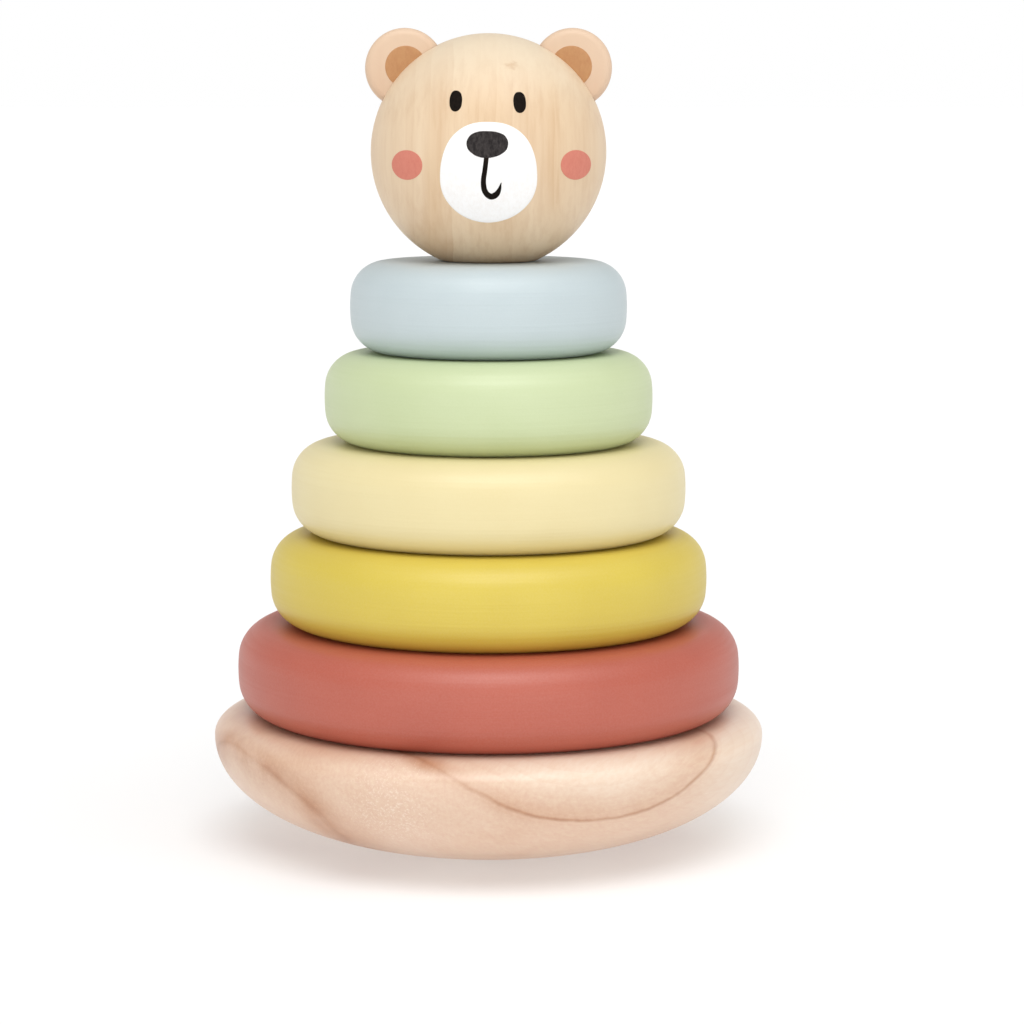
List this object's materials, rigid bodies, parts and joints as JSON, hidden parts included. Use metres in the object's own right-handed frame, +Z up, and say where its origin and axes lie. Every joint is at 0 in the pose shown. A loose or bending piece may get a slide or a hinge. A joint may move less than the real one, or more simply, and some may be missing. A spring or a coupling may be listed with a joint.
{
  "type": "stacking ring toy",
  "caption": "Wooden stacking toy: graded painted rings on a peg in a rocking half-round base, topped by a ball-shaped bear's head with disc ears that caps the peg.",
  "frame": {"origin": "middle of the small flat foot under the rocking base, on the common axis of peg, rings and head", "axes": "+Z up along the peg; the bear looks towards -Y; +X is on the right of a viewer who faces the bear"},
  "size_m": [0.13, 0.13, 0.191],
  "materials": {
    "base_wood": "clear matt lacquer over pinkish hardwood with wavy growth lines",
    "dowel_wood": "sanded bare dowel",
    "zinc_screw": "zinc-plated steel",
    "red_paint": "satin water-based paint, terracotta red",
    "mustard_paint": "satin water-based paint, mustard yellow",
    "cream_paint": "satin water-based paint, pale cream yellow",
    "green_paint": "satin water-based paint, pale leaf green",
    "blue_paint": "satin water-based paint, pale grey-blue",
    "head_wood": "clear matt lacquer over pale straight-grained hardwood",
    "ear_wood": "clear matt lacquer over pale pinkish hardwood",
    "white_face_paint": "matt paint, white muzzle",
    "black_face_paint": "satin paint, eyes, nose and mouth",
    "blush_face_paint": "matt paint, cheeks",
    "inner_ear_paint": "matt paint, brown inner ears"
  },
  "bodies": {
    "base": {"rocker_base": "base_wood", "peg": "dowel_wood", "peg_screw": "zinc_screw", "screw_plug": "dowel_wood"},
    "red": {"red_ring": "red_paint"},
    "mustard": {"mustard_ring": "mustard_paint"},
    "cream": {"cream_ring": "cream_paint"},
    "green": {"green_ring": "green_paint"},
    "blue": {"blue_ring": "blue_paint"},
    "head": {"bear_head": "head_wood", "left_ear": "ear_wood", "right_ear": "ear_wood"}
  },
  "joints": [
    {"name": "red_lift", "type": "slide", "parent": "base", "child": "red", "axis": [0, 0, 1], "range_m": [0, 0.1325]},
    {"name": "mustard_lift", "type": "slide", "parent": "red", "child": "mustard", "axis": [0, 0, 1], "range_m": [0, 0.1112]},
    {"name": "cream_lift", "type": "slide", "parent": "mustard", "child": "cream", "axis": [0, 0, 1], "range_m": [0, 0.0899]},
    {"name": "green_lift", "type": "slide", "parent": "cream", "child": "green", "axis": [0, 0, 1], "range_m": [0, 0.0686]},
    {"name": "blue_lift", "type": "slide", "parent": "green", "child": "blue", "axis": [0, 0, 1], "range_m": [0, 0.0473]},
    {"name": "head_lift", "type": "slide", "parent": "blue", "child": "head", "axis": [0, 0, 1], "range_m": [0, 0.026]}
  ]
}
